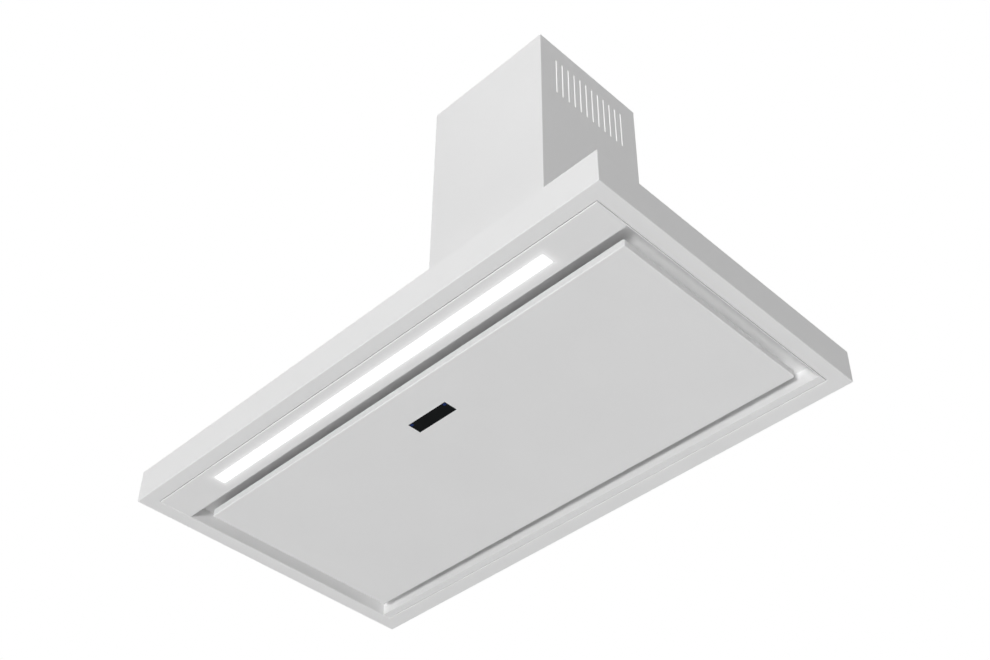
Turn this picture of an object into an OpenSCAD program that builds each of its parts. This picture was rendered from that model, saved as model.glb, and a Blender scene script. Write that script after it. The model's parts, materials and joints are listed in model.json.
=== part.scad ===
// Wall mount range hood with perimeter suction and a telescopic chimney cover.
// Frame: x = 0 is the middle, y = 0 is the wall, z = 0 is the underside, the front faces -Y.

/* [Canopy] */
// Width of the canopy
canopy_w = 900; // [880:10:1200]
// Depth of the canopy, wall to front face
canopy_d = 500; // [490:5:600]
// Height of the canopy box
canopy_h = 53; // [51:0.5:70]
// Sheet thickness of the canopy
canopy_t = 1.2; // [0.8:0.1:1.5]
// Outer radius of the canopy's folds
canopy_fold = 1.2; // [0.8:0.1:1.5]
// Width of the underside return at the front and sides
return_w = 23; // [18:1:26]
// Width of the underside return at the wall
rear_return_w = 26; // [18:1:30]
// Height of the turned-up lip of the return
lip_h = 14; // [8:1:20]
// Distance between the two lower wall holes
low_hole_pitch = 600; // [400:10:800]
// Diameter of the lower wall holes
low_hole_d = 7; // [5:0.5:9]

/* [Filter tray] */
// Open seam between the return and the tray
seam_gap = 1; // [1:0.5:4]
// Sheet thickness of the tray
tray_t = 1; // [0.8:0.1:1.2]
// Outer radius of the folds at the tray's front and rear edges
tray_fold = 1.2; // [0.8:0.1:1.5]
// Depth of the front strip that carries the light
front_strip = 53.5; // [46:0.5:60]
// Depth of the rear strip
rear_strip = 13; // [8:1:20]
// Depth of the recess, underside to ceiling
tray_depth = 24; // [22:0.5:26]
// Height of the tray's turned-up edge
tray_edge_h = 16; // [10:1:20]
// Distance of the standoffs from the recess sides
standoff_side = 49; // [35:1:70]
// Distance of the front standoffs from the recess front
standoff_front = 42; // [34:1:50]
// Distance of the rear standoffs from the recess rear
standoff_rear = 22; // [16:1:26]
// Width across the flats of a standoff
standoff_d = 8; // [7:0.5:10]

/* [Strip light] */
// Length of the light window
light_len = 647; // [400:1:700]
// Depth of the light window
light_d = 21.5; // [16:0.5:24]
// Distance from the tray's front edge to the light window
light_front = 17; // [12:0.5:18]
// Lip of the diffuser that rests on the tray
diffuser_lip = 3; // [2:0.5:4]
// Thickness of the diffuser's lip
diffuser_t = 2; // [1.5:0.5:3]
// Height of the light housing
light_h = 14; // [12:0.5:18]
// Number of light chips
chip_count = 24; // [8:1:36]

/* [Perimeter panel] */
// Suction gap in front of the panel
gap_front = 22; // [15:0.5:30]
// Suction gap at the sides of the panel
gap_side = 23.5; // [15:0.5:30]
// Suction gap behind the panel
gap_rear = 21; // [16:0.5:24]
// Height of the panel
panel_h = 11; // [10.5:0.5:12]
// Sheet thickness of the panel skin
panel_t = 1; // [0.8:0.1:1.2]
// Outer radius of the panel skin's folds
panel_fold = 1.5; // [1:0.1:1.5]
// Corner radius of the panel
panel_corner = 3; // [2:0.5:6]
// Number of stiffeners inside the panel
stiffener_count = 3; // [1:1:4]
// Width of a stiffener
stiffener_w = 24; // [16:1:32]

/* [Touch control] */
// Width of the control window
window_w = 72; // [50:1:100]
// Depth of the control window
window_d = 22.5; // [16:0.5:30]
// Distance from the panel's front edge to the window
window_front = 54.5; // [40:0.5:70]
// Width of a light mark
mark_w = 5; // [2:0.5:8]
// Depth of a light mark
mark_d = 4; // [1:0.5:5]
// Distance of a mark from the window's edges
mark_inset = 1.5; // [1:0.5:4]

/* [Panel hinge and catches] */
// Distance of the hinges and catches from the panel's sides
hinge_side = 70; // [50:1:90]
// Distance of the hinge axis in front of the panel's rear edge
hinge_back = 6.5; // [6:0.5:9]
// Height of the hinge axis above the underside
hinge_z = 15; // [14.5:0.5:15.5]
// Diameter of the hinge pin
hinge_pin_d = 3; // [2:0.5:3.5]
// Length of the panel's hinge barrel
barrel_len = 18; // [12:1:24]
// Length of each bracket ear
ear_len = 9; // [6:1:12]
// Distance of the catches behind the panel's front edge
catch_front = 18; // [14:1:30]

/* [Grease filters] */
// Width of a filter
filter_w = 258; // [200:1:262]
// Height of a filter
filter_h = 8; // [7.5:0.5:9]
// Distance of a filter's middle from the hood's middle
filter_x = 150; // [144:1:152]
// Distance from the recess front to the filters
filter_front = 62.5; // [56:0.5:66]
// Distance from the filters to the recess rear
filter_rear = 62; // [56:0.5:100]
// Width of the filter frame's rails
rail_w = 10; // [8:1:14]
// Travel of the filter's latch bolt
latch_travel = 5.5; // [5:0.5:6]

/* [Blower casing] */
// Width of the casing
casing_w = 240; // [224:1:260]
// Height of the casing
casing_h = 250; // [246:1:280]
// Sheet thickness of the casing
casing_t = 1; // [0.8:0.1:1.2]
// Width of the casing's flanges
flange_w = 14; // [12:1:15]
// Thickness of the mounting plate
plate_t = 2; // [1.8:0.1:2.2]
// Distance of the mounting plate's edges from the casing's sides
plate_inset = 4.5; // [4:0.5:6]
// Distance between the wall holes sideways
wall_pitch_x = 180; // [160:5:190]
// Distance between the wall holes upwards
wall_pitch_z = 180; // [120:5:190]
// Height of the lower wall holes above the canopy
wall_hole_z = 40; // [30:1:50]
// Diameter of the wall holes
wall_hole_d = 8.5; // [6:0.5:10]

/* [Blower] */
// Outer radius of the impeller
impeller_r = 72; // [66:1:78]
// Width of the impeller
impeller_w = 116; // [104:1:126]
// Radial depth of the blades
blade_depth = 12; // [9:0.5:13]
// Number of blades
blade_count = 32; // [20:1:40]
// Gap between the impeller and each side of the scroll
scroll_side = 10; // [8:1:14]
// Wall thickness of the scroll
scroll_t = 2; // [1.5:0.1:2.5]
// Gap between the impeller and the scroll's tongue
tongue_gap = 13; // [10:1:16]
// Growth of the scroll's radius from its tongue to its mouth
scroll_growth = 25; // [22:1:28]
// Gap between the scroll and the casing's front
scroll_front = 10; // [6:1:14]
// How far the impeller's rim covers the scroll's inlets
inlet_cover = 10; // [9:1:14]
// Radius of the motor
motor_r = 42; // [38:1:44]
// Length of the motor
motor_len = 58; // [50:1:60]
// Diameter of the motor shaft
shaft_d = 8; // [6:1:10]

/* [Air outlet] */
// Outer diameter of the duct collar, and depth of the scroll's mouth
collar_d = 150; // [140:1:155]
// Height of the duct collar
collar_h = 60; // [50:1:80]
// Wall thickness of the duct collar
collar_t = 2; // [1.5:0.5:3]
// Height of the flap pin above the collar's base
flap_z = 20; // [12:1:24]
// Thickness of a backdraft flap
flap_t = 1.5; // [1:0.1:1.5]

/* [Chimney] */
// Gap between the casing and the upper cover at each side
chimney_side = 8.5; // [8:0.5:10]
// Gap between the casing and the upper cover in front
chimney_front = 10; // [9:0.5:14]
// Top of the upper cover above the canopy
chimney_top = 765; // [700:5:1000]
// Height of the lower cover
lower_h = 350; // [345:1:370]
// Overlap of the two covers at rest
tele_overlap = 28; // [20:1:60]
// Sheet thickness of the chimney covers
chimney_t = 1; // [0.8:0.1:1]
// Outer radius of the covers' folds
chimney_fold = 1; // [0.5:0.1:1.2]
// Number of vent slots on each side
slot_count = 12; // [4:1:13]
// Distance between the vent slots
slot_pitch = 15; // [8:0.5:16]
// Width of a vent slot
slot_w = 3; // [2:0.5:5]
// Length of a vent slot
slot_len = 85; // [40:1:120]
// Distance from the top edge to the vent slots
slot_top = 37; // [36:1:60]
// Width of the upper cover's returns at the wall
chimney_return = 12; // [10:0.5:12]

/* [Hidden] */

$fn = 48;

// Overrun of every cut
over = 1;
// Gap between pieces that move past each other
slip = 0.3;
// How far a screw's end stands out behind what it holds
screw_proud = 1;
// Radial play of a pin in its bore
pin_play = 0.05;
// Play of a screw in its hole, on the diameter
screw_play = 0.2;

// Screws: shank and head
screw_d = 4;
screw_head_d = 7.6;
screw_head_h = 2.4;
small_d = 3;
small_head_d = 5.6;
small_head_h = 1.8;
screw_hole_r = (screw_d + screw_play) / 2;
small_hole_r = (small_d + screw_play) / 2;

// Hexagons: sides, and the angle from a flat's middle to its corner
hex_sides = 6;
hex_angle = 30;

canopy_x = canopy_w / 2;
front_y = -canopy_d;
deck_z = canopy_h;
deck_under = canopy_h - canopy_t;

opening_x = canopy_x - return_w;
opening_front = front_y + return_w;
opening_rear = -rear_return_w;

tray_x = opening_x - seam_gap;
tray_front = opening_front + seam_gap;
tray_rear = opening_rear - seam_gap;
recess_x = tray_x - tray_t;
recess_front = tray_front + front_strip;
recess_rear = tray_rear - rear_strip;
ceiling_z = tray_depth;
ceiling_top = tray_depth + tray_t;

standoff_x = recess_x - standoff_side;
standoff_y0 = recess_front + standoff_front;
standoff_y1 = recess_rear - standoff_rear;
standoff_spots = concat(
    [for (x = [-standoff_x, 0, standoff_x]) [x, standoff_y0]],
    [for (x = [-standoff_x, -filter_x, filter_x, standoff_x]) [x, standoff_y1]]
);
standoff_bore = 14;
tray_screw_len = 11;

light_x = light_len / 2;
light_y0 = tray_front + light_front;
light_y1 = light_y0 + light_d;
light_top = tray_t + light_h;
light_wall = 1.5;
light_fit = 0.15;
board_t = 1.6;
chip = 3;
chip_t = 0.8;

panel_x = recess_x - gap_side;
panel_front = recess_front + gap_front;
panel_rear = recess_rear - gap_rear;
back_plate_t = 0.6;
back_plate_drop = 1;
back_plate_z = panel_h - back_plate_drop - back_plate_t;
back_plate_top = panel_h - back_plate_drop;
stiffener_t = 0.8;
stiffener_end = 20;

window_x = window_w / 2;
window_y0 = panel_front + window_front;
window_y1 = window_y0 + window_d;
glass_lip = 3;
glass_t = 2;
glass_play = 0.1;
housing_wall = 2;
housing_ear = 8;
control_x = window_x + glass_lip + housing_wall;
control_y0 = window_y0 - glass_lip - housing_wall;
control_y1 = window_y1 + glass_lip + housing_wall;
mark_x = window_x - mark_inset - mark_w / 2;
mark_y = window_y0 + mark_inset + mark_d / 2;

hinge_x = panel_x - hinge_side;
hinge_y = panel_rear - hinge_back;
leaf_t = 1.5;
leaf_front = 18;
barrel_r = hinge_z - back_plate_top - leaf_t;
ear_r = barrel_r - slip;
ear_web = 2;
hinge_w = barrel_len + 2 * (ear_len + slip);
bracket_d = 20;
bracket_wing = 9;
bracket_x = hinge_w / 2 + bracket_wing;
bracket_t = 1.5;
bracket_z = ceiling_z - bracket_t;
bracket_screw_len = 3.5;

catch_x = panel_x - hinge_side;
catch_y = panel_front + catch_front;
catch_w = 20;
catch_d = 12;
magnet_w = 16;
magnet_d = 8;
magnet_h = 3;
magnet_z = back_plate_top + slip;

filter_play = 1;
filter_lift = 0.5;
filter_y0 = recess_front + filter_front;
filter_y1 = recess_rear - filter_rear;
filter_d = filter_y1 - filter_y0;
filter_half = filter_w / 2;
filter_z0 = ceiling_z + filter_lift;
filter_z1 = filter_z0 + filter_h;
collar_half = filter_half + filter_play;
collar_top = filter_z1 + filter_lift;
mesh_t = 5;
mesh_z0 = filter_z0 + (filter_h - mesh_t) / 2;
mesh_seat = 6;
tongue_w = 12;
tongue_t = 2;
tongue_len = 5;
tongue_x = 60;
tongue_z = filter_z0 + (filter_h - tongue_t) / 2;
case_x = 26;
case_d = 26;
case_roof = 1.6;
bolt_x = 8;
bolt_t = 3;
bolt_z = filter_z1 - case_roof - slip - bolt_t;
bolt_out = 4;
tab_d = 3;
tab_gap = 2;
pocket_x = 20;
pocket_wall = 2;
pocket_y0 = rail_w + pocket_wall;
pocket_y1 = rail_w + case_d - pocket_wall;
spring_block = 6.5;
spring_len = latch_travel + spring_block;
bolt_tail = pocket_y1 - spring_len;
tab_y0 = pocket_y0 + tab_gap;
spring_r = 1.4;
spring_wire = 0.5;
spring_z = bolt_z + bolt_t / 2;
tab_z = filter_z0 + filter_lift;

scroll_r0 = impeller_r + tongue_gap;
scroll_r1 = scroll_r0 + scroll_growth;
scroll_drop = 2;
fan_y = scroll_r1 + plate_t;
fan_z = scroll_r1 - scroll_drop;

casing_d = fan_y + scroll_r1 + scroll_front;
casing_x = casing_w / 2;
casing_front = -casing_d;
casing_top = deck_z + casing_h;
lid_top = casing_top + casing_t;
lid_skirt = 12;
air_x = casing_x - flange_w - casing_t;
air_front = casing_front + flange_w + casing_t;
foot_d = flange_w + casing_t + plate_t;
foot_gap = 5;
air_rear = -foot_d - foot_gap;
plate_x = casing_x - plate_inset;
rear_flange_x = casing_x - flange_w - plate_t;
foot_x = air_x - foot_gap;
flange_mid = casing_x - (flange_w + casing_t) / 2;
front_mid = casing_front + (flange_w + casing_t) / 2;
foot_mid = -(foot_d + plate_t) / 2;
rear_mid = (plate_x + rear_flange_x) / 2;
casing_screw_len = casing_t + canopy_t + screw_proud;
rear_screw_len = casing_t + plate_t / 2;
side_screw_shares = [0.15, 0.5, 0.85];
lid_screw_shares = [0.25, 0.75];
screw_ys = [for (s = side_screw_shares) casing_front + s * (casing_d - foot_d)];
screw_zs = [for (s = side_screw_shares) deck_z + s * casing_h];
front_screw_x = casing_x / 2;
lid_screw_len = 5;

axis_y = -fan_y;
axis_z = deck_z + fan_z;
scroll_x = impeller_w / 2 + scroll_side + scroll_t;
mouth_d = collar_d;
tongue_a = acos((scroll_r1 - mouth_d) / scroll_r0);
scroll_steps = 24;
mouth_z = casing_top - axis_z;
mouth_front = axis_y - scroll_r1;
mouth_rear = mouth_front + mouth_d;
mouth_mid = (mouth_front + mouth_rear) / 2;
ring_t = 2;
hub_r = 9;
hub_len = 18;
disc_t = 2;
blade_t = 1;
blade_lean = 4;
blade_in = 0.4;
shaft_r = shaft_d / 2;
spider_t = 2;
bush_len = 4;
bush_r = 6;
inlet_r = impeller_r - inlet_cover;
bush_margin = 8;
bush_ring = inlet_r + bush_margin;
bush_angles = [90, 210, 330];
spider_arm = 12;
spider_pad_r = 7;
spider_x0 = -scroll_x - bush_len - spider_t;
motor_x0 = spider_x0 + spider_t;
motor_x1 = motor_x0 + motor_len;
motor_wall = 1.5;
motor_end = 3;
bearing_r = 8;
bearing_len = 6;
bearing_inset = 1;
stator_r = motor_r - motor_wall;
stator_depth = 12;
stator_len = 30;
stator_x0 = (motor_x0 + motor_x1 - stator_len) / 2;
rotor_gap = 0.5;
motor_bolt_inset = 12;
motor_bolt_ring = motor_r - motor_bolt_inset;
shaft_inset = 1.5;
shaft_proud = 2;
shaft_x0 = motor_x0 + shaft_inset;
shaft_x1 = (disc_t + hub_len) / 2 + shaft_proud;
lug_w = 12;
lug_t = 2;
spider_screw_len = spider_t + bush_len + scroll_t;
motor_screw_len = spider_t + motor_end;

collar_r = collar_d / 2;
collar_in = collar_r - collar_t;
collar_y = mouth_mid;
base_half = scroll_x + lug_w;
base_t = 2;
base_top = lid_top + base_t;
pin_z = base_top + flap_z;
flap_pin_r = 1.5;
flap_pin_inset = 0.3;
flap_barrel_r = 2.6;
flap_barrel_len = 14;
flap_gap = 2;
flap_r = collar_in - flap_gap;
flap_start = 4;
ledge_w = 4;
ledge_t = 2;
barrel_near = 20;
barrel_far = 50;
lug_mid = scroll_x + lug_w / 2;
collar_screw_share = 0.4;
collar_screw_y = mouth_d * collar_screw_share;
collar_screw_len = base_t + casing_t + lug_t;

gland_side = 24;
gland_x = gland_side - casing_x;
gland_y = -30;
gland_bore = 4;
gland_thread_r = 8;
gland_thread_len = 10;
gland_hex_d = 19;
gland_hex_h = 5;
gland_dome_r = 9;
gland_dome_h = 13;

chimney_x = casing_x + chimney_side;
chimney_d = casing_d + chimney_front;
chimney_z1 = deck_z + chimney_top;
chimney_z0 = deck_z + lower_h - tele_overlap;
tele_side = 0.5;
tele_front = 1;
lower_x = chimney_x + tele_side + chimney_t;
lower_d = chimney_d + tele_front + chimney_t;
flange_gap = 1;
lower_flange = chimney_side + tele_side - flange_gap;
lower_mid_x = lower_x - chimney_t - lower_flange / 2;
lower_mid_y = -lower_d + chimney_t + lower_flange / 2;
lower_screw_len = canopy_t + chimney_t + screw_proud;
lower_screw_shares = [0.25, 0.75];
slot_z1 = chimney_z1 - slot_top;
slot_z0 = slot_z1 - slot_len;
slot_first = -chimney_d / 2 - (slot_count - 1) * slot_pitch / 2;
bracket_h = 22;
bracket_drop = 81;
wall_bracket_t = 2;
strap_t = 1.5;
strap_in = 16;
strap_reach = 30;
bracket_gap = 1;
bracket_hole_pitch = 160;
bracket_hole_d = 6;

ebox_gap = 13;
ebox_w = 105;
ebox_d = 115;
ebox_wall = 2;
ebox_lid_t = 2;
ebox_rear_gap = 12;
ebox_x1 = -filter_x - collar_half - tray_t - ebox_gap;
ebox_x0 = ebox_x1 - ebox_w;
ebox_y1 = standoff_y1 - ebox_rear_gap;
ebox_y0 = ebox_y1 - ebox_d;
ebox_top = deck_under - ebox_lid_t - slip;
boss = 8;
boss_h = 3;
pcb_z = ceiling_top + ebox_wall + boss_h;
pcb_inset = 4;
pcb_x0 = ebox_x0 + pcb_inset;
pcb_x1 = ebox_x1 - pcb_inset;
pcb_y0 = ebox_y0 + pcb_inset;
cap_w = 18;
cap_d = 46;
cap_room = 4;
cap_h = ebox_top - cap_room - pcb_z - board_t;
term_w = 12;
term_d = 60;
term_h = 10;
part_inset = 10;

// A box from its low corner to its high corner
module span(lo, hi) {
    translate(lo)
        cube(hi - lo);
}

// The same shape on both sides of the middle
module both_sides() {
    children();
    mirror([1, 0, 0])
        children();
}

module rod_x(at, r, len) {
    translate(at)
        rotate([0, 90, 0])
            cylinder(h = len, r = r);
}

module rod_y(at, r, len) {
    translate(at)
        rotate([-90, 0, 0])
            cylinder(h = len, r = r);
}

module rod_z(at, r, len) {
    translate(at)
        cylinder(h = len, r = r);
}

// What a fold of outer radius r takes off an edge along Z; the sheet lies towards +X and +Y
module fold(r, len) {
    difference() {
        translate([-over, -over, -len / 2])
            cube([r + over, r + over, len]);
        translate([r, r, -len])
            cylinder(h = 2 * len, r = r);
    }
}

// The same along X; the sheet lies towards +Y and +Z
module fold_x(r, len) {
    rotate([90, 0, 90])
        fold(r, len);
}

// The same along Y; the sheet lies towards +X and +Z
module fold_y(r, len) {
    rotate([-90, -90, 0])
        fold(r, len);
}

// A hexagonal bar, given its width across the flats
module hex_bar(h, across) {
    cylinder(h = h, d = across / cos(hex_angle), $fn = hex_sides);
}

// A pan head screw: its head sits under z = 0 and its shank points along +Z before the turn
module screw(at, turn, len, d = screw_d, head_d = screw_head_d, head_h = screw_head_h) {
    translate(at)
        rotate(turn) {
            translate([0, 0, -head_h])
                cylinder(h = head_h, d = head_d);
            translate([0, 0, -head_h / 2])
                cylinder(h = len + head_h / 2, d = d);
        }
}

// Places of the screws, shared by the screws and by the holes they pass
module at_casing_spots() {
    for (x = [-flange_mid, flange_mid], y = screw_ys)
        translate([x, y, 0])
            children();
    for (x = [-front_screw_x, front_screw_x])
        translate([x, front_mid, 0])
            children();
    for (x = [-front_screw_x, front_screw_x])
        translate([x, foot_mid, 0])
            children();
}

module at_chimney_spots() {
    for (x = [-lower_mid_x, lower_mid_x], s = lower_screw_shares)
        translate([x, -s * lower_d, 0])
            children();
    translate([0, lower_mid_y, 0])
        children();
}

module at_collar_spots() {
    for (x = [-lug_mid, lug_mid], y = [-collar_screw_y, collar_screw_y])
        translate([x, collar_y + y, 0])
            children();
}

module at_hinges() {
    for (x = [-hinge_x, hinge_x])
        translate([x, hinge_y, 0])
            children();
}

module at_bracket_screws() {
    at_hinges()
        for (x = [-1, 1])
            translate([x * (bracket_x - bracket_wing / 2), 0, 0])
                children();
}

// Folded canopy box with the return round its underside
module canopy_shell() {
    color("white")
        difference() {
            union() {
                difference() {
                    span([-canopy_x, front_y, 0], [canopy_x, 0, deck_z]);
                    span(
                        [-canopy_x + canopy_t, front_y + canopy_t, canopy_t],
                        [canopy_x - canopy_t, -canopy_t, deck_under]
                    );
                }
                span(
                    [-opening_x - canopy_t, opening_front - canopy_t, 0],
                    [opening_x + canopy_t, opening_rear + canopy_t, lip_h]
                );
            }
            span([-opening_x, opening_front, -over], [opening_x, opening_rear, lip_h + over]);
            span([-air_x, air_front, deck_under - over], [air_x, air_rear, deck_z + over]);
            at_casing_spots()
                rod_z([0, 0, deck_under - over], screw_hole_r, canopy_t + 2 * over);
            at_chimney_spots()
                rod_z([0, 0, deck_under - over], small_hole_r, canopy_t + 2 * over);
            for (x = [-low_hole_pitch / 2, low_hole_pitch / 2])
                rod_y([x, -canopy_t - over, (deck_z + canopy_t) / 2], low_hole_d / 2, canopy_t + 2 * over);
            canopy_outer_folds();
            opening_folds();
        }
}

// Rounding of the box's folded edges; its edges at the wall stay square
module canopy_outer_folds() {
    both_sides() {
        translate([-canopy_x, front_y, deck_z / 2])
            fold(canopy_fold, deck_z + 2 * over);
        translate([-canopy_x, front_y / 2, 0])
            fold_y(canopy_fold, canopy_d + 2 * over);
        translate([-canopy_x, front_y / 2, deck_z])
            mirror([0, 0, 1])
                fold_y(canopy_fold, canopy_d + 2 * over);
    }
    translate([0, front_y, 0])
        fold_x(canopy_fold, canopy_w + 2 * over);
    translate([0, front_y, deck_z])
        mirror([0, 0, 1])
            fold_x(canopy_fold, canopy_w + 2 * over);
}

// Rounding of the fold from the return to its lip, side by side
module opening_folds() {
    both_sides()
        translate([opening_x, (opening_front + opening_rear) / 2, 0])
            fold_y(canopy_fold, opening_rear - opening_front);
    translate([0, opening_rear, 0])
        fold_x(canopy_fold, 2 * opening_x);
    translate([0, opening_front, 0])
        mirror([0, 1, 0])
            fold_x(canopy_fold, 2 * opening_x);
}

// Opening of one filter with its upstand
module filter_upstand(side) {
    difference() {
        span(
            [side * filter_x - collar_half - tray_t, filter_y0 - filter_play - tray_t, ceiling_z],
            [side * filter_x + collar_half + tray_t, filter_y1 + filter_play + tray_t, collar_top]
        );
        filter_opening(side);
        span(
            [side * filter_x - bolt_x - filter_play, filter_y0 - bolt_out, bolt_z - slip],
            [side * filter_x + bolt_x + filter_play, filter_y0, bolt_z + bolt_t + slip]
        );
        for (x = [side * filter_x - tongue_x, side * filter_x + tongue_x])
            span(
                [x - tongue_w / 2 - slip, filter_y1, tongue_z - slip],
                [x + tongue_w / 2 + slip, filter_y1 + tongue_len, tongue_z + tongue_t + slip]
            );
    }
}

module filter_opening(side) {
    span(
        [side * filter_x - collar_half, filter_y0 - filter_play, ceiling_z - over],
        [side * filter_x + collar_half, filter_y1 + filter_play, collar_top + over]
    );
}

// One folded sheet: front strip with the light window, recess, ceiling and rear strip
module filter_tray() {
    color("whitesmoke") {
        difference() {
            span([-tray_x, tray_front, 0], [tray_x, tray_rear, tray_edge_h]);
            span(
                [-recess_x, tray_front + tray_t, tray_t],
                [recess_x, tray_rear - tray_t, tray_edge_h + over]
            );
            span([-recess_x, recess_front, -over], [recess_x, recess_rear, tray_t + over]);
            span([-light_x, light_y0, -over], [light_x, light_y1, tray_t + over]);
            translate([0, tray_front, 0])
                fold_x(tray_fold, 2 * (tray_x + over));
            translate([0, tray_rear, 0])
                mirror([0, 1, 0])
                    fold_x(tray_fold, 2 * (tray_x + over));
        }
        difference() {
            span([-tray_x, recess_front - tray_t, 0], [tray_x, recess_rear + tray_t, ceiling_top]);
            span([-recess_x, recess_front, -over], [recess_x, recess_rear, ceiling_z]);
            for (side = [-1, 1])
                filter_opening(side);
            for (p = standoff_spots)
                rod_z([p.x, p.y, ceiling_z - over], screw_hole_r, tray_t + 2 * over);
            at_bracket_screws()
                rod_z([0, 0, ceiling_z - over], small_hole_r, tray_t + 2 * over);
        }
        for (side = [-1, 1])
            filter_upstand(side);
    }
}

// Hexagonal posts between the tray's ceiling and the canopy's top
module tray_standoffs() {
    color("silver")
        for (p = standoff_spots)
            difference() {
                translate([p.x, p.y, ceiling_top])
                    hex_bar(deck_under - ceiling_top, standoff_d);
                rod_z([p.x, p.y, ceiling_top - over], screw_hole_r, standoff_bore + over);
            }
}

module tray_screws() {
    color("silver")
        for (p = standoff_spots)
            screw([p.x, p.y, ceiling_z], [0, 0, 0], tray_t + tray_screw_len);
}

// Aluminium channel over the light window
module light_housing() {
    color("silver")
        difference() {
            span(
                [-light_x - diffuser_lip - light_wall, light_y0 - diffuser_lip - light_wall, tray_t],
                [light_x + diffuser_lip + light_wall, light_y1 + diffuser_lip + light_wall, light_top]
            );
            span(
                [-light_x - diffuser_lip, light_y0 - diffuser_lip, tray_t - over],
                [light_x + diffuser_lip, light_y1 + diffuser_lip, light_top - light_wall]
            );
        }
}

// Light board under the housing's roof, with its row of chips
module light_board() {
    light_mid = (light_y0 + light_y1) / 2;
    board_z = light_top - light_wall - board_t;
    chip_pitch = light_len / chip_count;
    color("ivory") {
        span([-light_x, light_y0, board_z], [light_x, light_y1, board_z + board_t]);
        for (i = [0 : chip_count - 1])
            span(
                [-light_x + (i + 0.5) * chip_pitch - chip / 2, light_mid - chip / 2, board_z - chip_t],
                [-light_x + (i + 0.5) * chip_pitch + chip / 2, light_mid + chip / 2, board_z]
            );
    }
}

// Opal strip, flush with the underside
module light_diffuser() {
    color("white") {
        span(
            [-light_x + light_fit, light_y0 + light_fit, 0],
            [light_x - light_fit, light_y1 - light_fit, tray_t]
        );
        span(
            [-light_x - diffuser_lip, light_y0 - diffuser_lip, tray_t],
            [light_x + diffuser_lip, light_y1 + diffuser_lip, tray_t + diffuser_t]
        );
    }
}

module electrics_box() {
    color("dimgray") {
        difference() {
            span([ebox_x0, ebox_y0, ceiling_top], [ebox_x1, ebox_y1, ebox_top]);
            span(
                [ebox_x0 + ebox_wall, ebox_y0 + ebox_wall, ceiling_top + ebox_wall],
                [ebox_x1 - ebox_wall, ebox_y1 - ebox_wall, ebox_top + over]
            );
        }
        for (x = [ebox_x0 + ebox_wall, ebox_x1 - ebox_wall - boss])
            for (y = [ebox_y0 + ebox_wall, ebox_y1 - ebox_wall - boss])
                span([x, y, ceiling_top + ebox_wall / 2], [x + boss, y + boss, pcb_z]);
    }
}

module electrics_lid() {
    color("gray")
        span([ebox_x0, ebox_y0, ebox_top], [ebox_x1, ebox_y1, ebox_top + ebox_lid_t]);
}

module power_board() {
    color("darkgreen")
        span([pcb_x0, pcb_y0, pcb_z], [pcb_x1, ebox_y1 - pcb_inset, pcb_z + board_t]);
}

module capacitor() {
    color("gold")
        translate([pcb_x0 + part_inset, pcb_y0 + part_inset, pcb_z + board_t])
            cube([cap_w, cap_d, cap_h]);
}

module terminal_block() {
    color("ivory")
        translate([pcb_x1 - part_inset - term_w, pcb_y0 + part_inset, pcb_z + board_t])
            cube([term_w, term_d, term_h]);
}

// A plate with round corners
module round_plate(lo, hi, r) {
    size = hi - lo;
    translate(lo)
        linear_extrude(height = size.z) {
            translate([r, 0])
                square([size.x - 2 * r, size.y]);
            translate([0, r])
                square([size.x, size.y - 2 * r]);
            for (x = [r, size.x - r], y = [r, size.y - r])
                translate([x, y])
                    circle(r = r);
        }
}

// Folded outer sheet of the perimeter panel
module panel_skin() {
    color("white")
        difference() {
            round_plate([-panel_x, panel_front, 0], [panel_x, panel_rear, panel_h], panel_corner);
            round_plate(
                [-panel_x + panel_t, panel_front + panel_t, panel_t],
                [panel_x - panel_t, panel_rear - panel_t, panel_h + over],
                panel_corner - panel_t
            );
            span([-window_x, window_y0, -over], [window_x, window_y1, panel_t + over]);
            both_sides()
                translate([-panel_x, (panel_front + panel_rear) / 2, 0])
                    fold_y(panel_fold, panel_rear - panel_front + 2 * over);
            translate([0, panel_front, 0])
                fold_x(panel_fold, 2 * (panel_x + over));
            translate([0, panel_rear, 0])
                mirror([0, 1, 0])
                    fold_x(panel_fold, 2 * (panel_x + over));
        }
}

// Plate that closes the panel's back
module panel_back_plate() {
    color("white")
        round_plate(
            [-panel_x + panel_t, panel_front + panel_t, back_plate_z],
            [panel_x - panel_t, panel_rear - panel_t, back_plate_top],
            panel_corner - panel_t
        );
}

// Box channels between the skin and the back plate, behind the control
module panel_stiffeners() {
    room = panel_rear - panel_t - control_y1;
    color("silver")
        for (i = [1 : stiffener_count]) {
            y = control_y1 + room * i / (stiffener_count + 1);
            difference() {
                span(
                    [-panel_x + stiffener_end, y - stiffener_w / 2, panel_t],
                    [panel_x - stiffener_end, y + stiffener_w / 2, back_plate_z]
                );
                span(
                    [-panel_x, y - stiffener_w / 2 + stiffener_t, panel_t + stiffener_t],
                    [panel_x, y + stiffener_w / 2 - stiffener_t, back_plate_z - stiffener_t]
                );
            }
        }
}

// Leaf on the back plate with its barrel
module panel_hinge_leaves() {
    color("silver")
        at_hinges()
            difference() {
                union() {
                    span(
                        [-hinge_w / 2, -leaf_front, back_plate_top],
                        [hinge_w / 2, hinge_back - panel_t - slip, back_plate_top + leaf_t]
                    );
                    rod_x([-barrel_len / 2, 0, hinge_z], barrel_r, barrel_len);
                    span(
                        [-barrel_len / 2, -barrel_r, back_plate_top + leaf_t / 2],
                        [barrel_len / 2, barrel_r, hinge_z]
                    );
                }
                rod_x(
                    [-barrel_len / 2 - over, 0, hinge_z],
                    hinge_pin_d / 2 + pin_play,
                    barrel_len + 2 * over
                );
            }
}

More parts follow.
